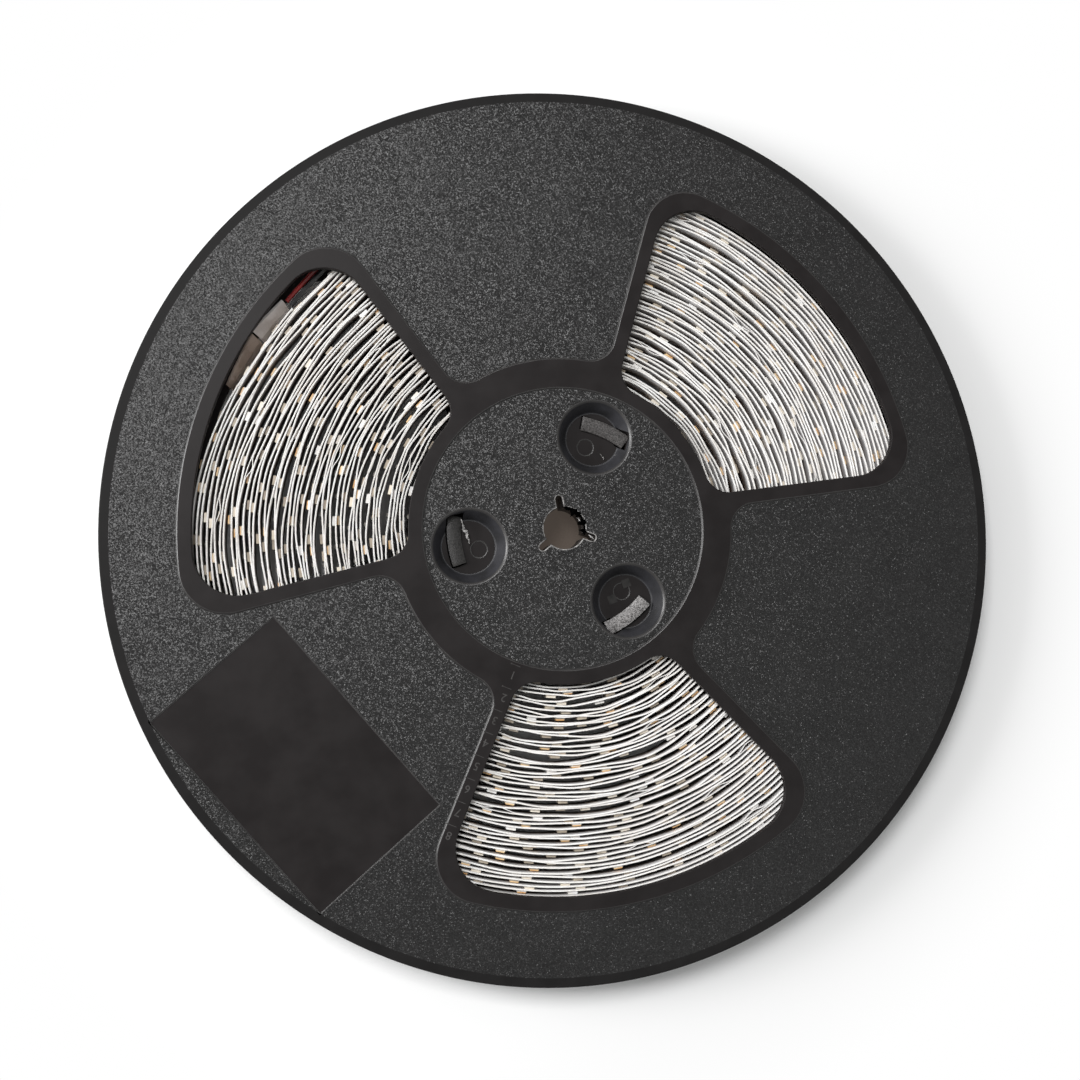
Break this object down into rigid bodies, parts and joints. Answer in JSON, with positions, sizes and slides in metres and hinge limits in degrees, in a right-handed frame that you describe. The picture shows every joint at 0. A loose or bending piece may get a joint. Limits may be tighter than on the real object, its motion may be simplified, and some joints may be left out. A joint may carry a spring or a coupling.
{
  "type": "led strip light reel",
  "caption": "Flat plastic reel of two snap-together halves with windows, wound with a long roll of LED strip whose tagged end and lead wires lie on the roll.",
  "frame": {"origin": "on the reel's axis at the plane that the rear flange's raised frames rest on", "axes": "+Z along the reel's axis, out of the front flange; +Y along one spoke of the flanges"},
  "size_m": [0.28, 0.28, 0.014],
  "materials": {
    "reel_plastic": "grained moulded polystyrene with smooth frames",
    "strip": "white flexible circuit with moulded LEDs",
    "tag": "satin white sleeve",
    "tape": "clear brownish film",
    "red_insulation": "satin",
    "black_insulation": "satin"
  },
  "bodies": {
    "root": {"front_flange": "reel_plastic", "rear_flange": "reel_plastic", "led_strip_roll": "strip", "strip_end_tag": "tag", "tail_tape": "tape", "red_lead_wire": "red_insulation", "black_lead_wire": "black_insulation"}
  },
  "joints": []
}
